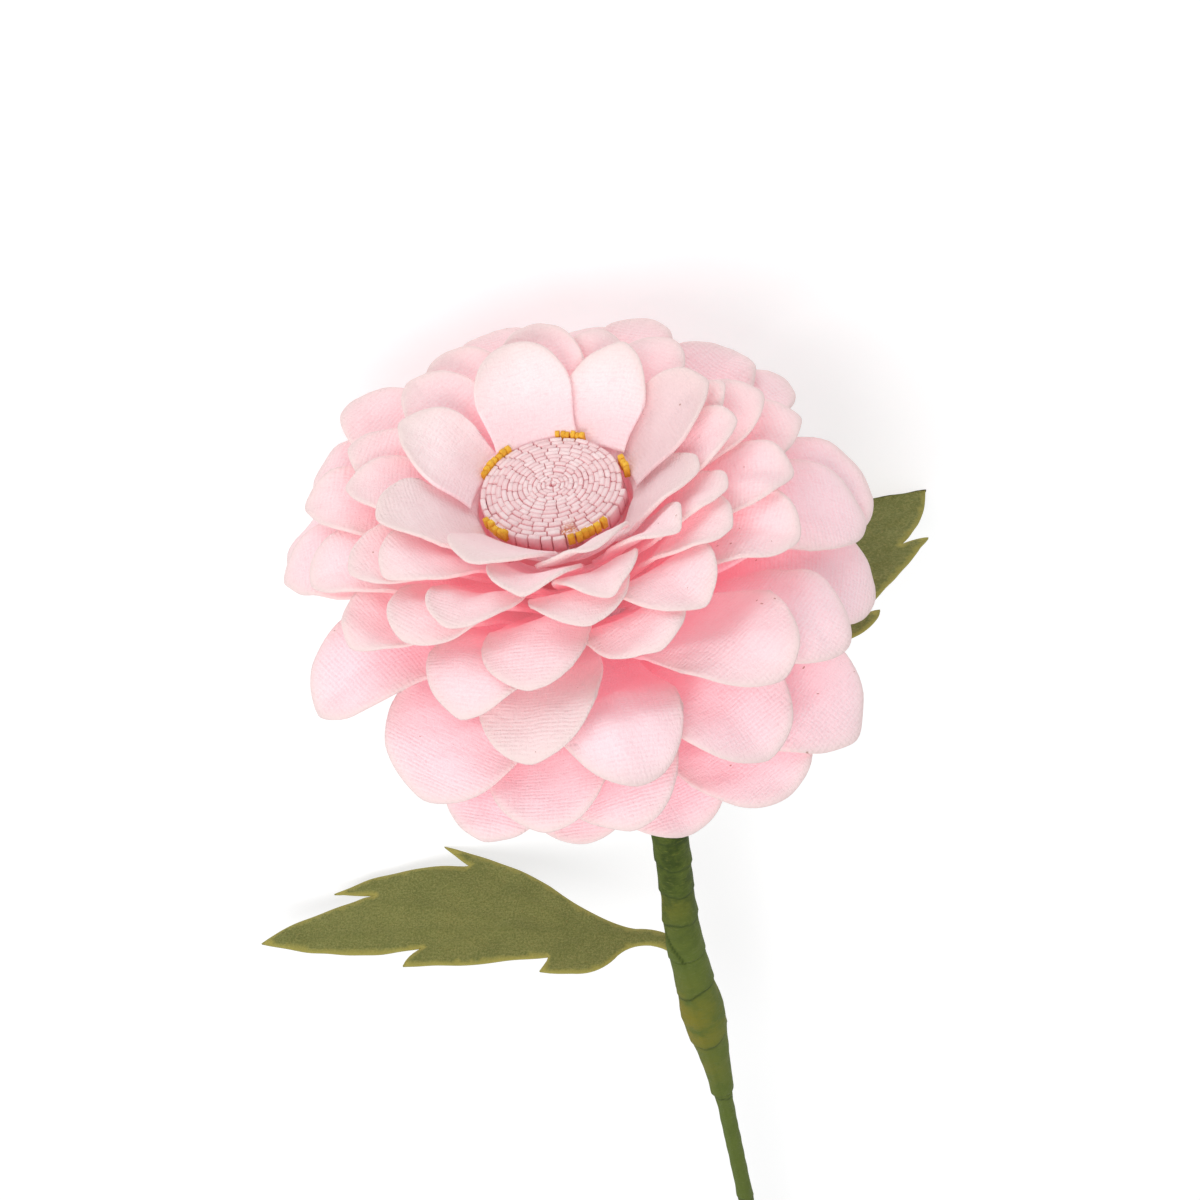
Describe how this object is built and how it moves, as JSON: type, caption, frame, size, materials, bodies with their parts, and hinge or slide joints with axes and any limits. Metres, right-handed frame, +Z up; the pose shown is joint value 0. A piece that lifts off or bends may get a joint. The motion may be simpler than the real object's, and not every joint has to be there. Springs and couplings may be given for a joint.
{
  "type": "paper flower",
  "caption": "Cut paper flower with a rolled fringed centre, rings of cupped pink petals, toothed green leaves and a wire stem wrapped in green paper.",
  "frame": {"origin": "centre of the bounding box, at the surface that the flower lies on", "axes": "+Z up from that surface; the stem runs from the head towards +Y; the face of the flower looks towards -Y and a little up"},
  "size_m": [0.1586, 0.312, 0.1127],
  "materials": {
    "petal_paper": "soft embossed pink crepe-like paper, matte",
    "fringe_paper": "pale pink fringed paper strip, matte",
    "tuft_paper": "yellow fringed paper, matte",
    "leaf_paper": "mottled olive green thick paper, matte",
    "stem_wrap": "green crepe paper wound round the stem, matte with a faint sheen",
    "stem_wire": "plain steel wire, cut square"
  },
  "bodies": {
    "root": {"rolled_centre": "fringe_paper", "yellow_tuft_1": "tuft_paper", "yellow_tuft_2": "tuft_paper", "yellow_tuft_3": "tuft_paper", "yellow_tuft_4": "tuft_paper", "yellow_tuft_5": "tuft_paper", "petal_ring_first": "petal_paper", "petal_ring_second": "petal_paper", "petal_ring_third": "petal_paper", "petal_ring_fourth": "petal_paper", "petal_fifth_1": "petal_paper", "petal_fifth_2": "petal_paper", "petal_fifth_3": "petal_paper", "petal_fifth_4": "petal_paper", "petal_fifth_5": "petal_paper", "petal_fifth_6": "petal_paper", "petal_fifth_7": "petal_paper", "petal_fifth_8": "petal_paper", "petal_sixth_1": "petal_paper", "petal_sixth_2": "petal_paper", "petal_sixth_3": "petal_paper", "petal_sixth_4": "petal_paper", "petal_sixth_5": "petal_paper", "petal_sixth_6": "petal_paper", "petal_sixth_7": "petal_paper", "petal_sixth_8": "petal_paper", "petal_sixth_9": "petal_paper", "petal_seventh_1": "petal_paper", "petal_seventh_2": "petal_paper", "petal_seventh_3": "petal_paper", "petal_seventh_4": "petal_paper", "petal_seventh_5": "petal_paper", "petal_seventh_6": "petal_paper", "petal_seventh_7": "petal_paper", "petal_seventh_8": "petal_paper", "petal_seventh_9": "petal_paper", "petal_seventh_10": "petal_paper", "petal_outer_1": "petal_paper", "petal_outer_2": "petal_paper", "petal_outer_3": "petal_paper", "petal_outer_4": "petal_paper", "petal_outer_5": "petal_paper", "petal_outer_6": "petal_paper", "petal_outer_7": "petal_paper", "petal_outer_8": "petal_paper", "petal_outer_9": "petal_paper", "petal_outer_10": "petal_paper", "petal_outer_11": "petal_paper", "petal_outer_12": "petal_paper", "petal_outer_13": "petal_paper", "stem_wire": "stem_wire", "wrap_upper": "stem_wrap", "wrap_middle": "stem_wrap", "wrap_lower": "stem_wrap", "leaf_left": "leaf_paper", "leaf_right": "leaf_paper"}
  },
  "joints": []
}
